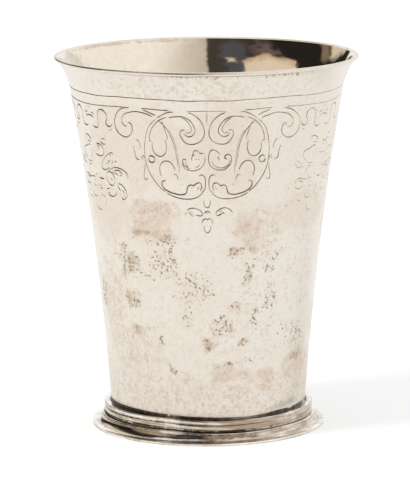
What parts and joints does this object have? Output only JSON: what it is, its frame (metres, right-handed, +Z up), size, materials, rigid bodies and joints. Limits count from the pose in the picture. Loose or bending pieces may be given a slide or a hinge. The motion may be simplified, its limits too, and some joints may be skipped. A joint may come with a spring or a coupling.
{
  "type": "silver beaker",
  "caption": "Footed silver beaker for drinking: tapered concave cup with a flared lip, engraved scroll band, reeded collar and spreading moulded foot.",
  "frame": {"origin": "on the table, at the centre of the ring that the foot stands on", "axes": "+Z up along the beaker's axis; -Y towards the viewer, at the middle of the main engraved motif; +X to the viewer's right"},
  "size_m": [0.0852, 0.0852, 0.105],
  "materials": {
    "worn_silver": "satin",
    "polished_silver": "polished",
    "tarnished_solder": "matte"
  },
  "bodies": {
    "root": {"cup_wall": "worn_silver", "base_disc": "polished_silver", "base_solder_fillet": "tarnished_solder", "reeded_collar": "polished_silver", "collar_solder_fillet": "tarnished_solder", "flange_solder_seam": "tarnished_solder", "foot_flange": "polished_silver"}
  },
  "joints": []
}
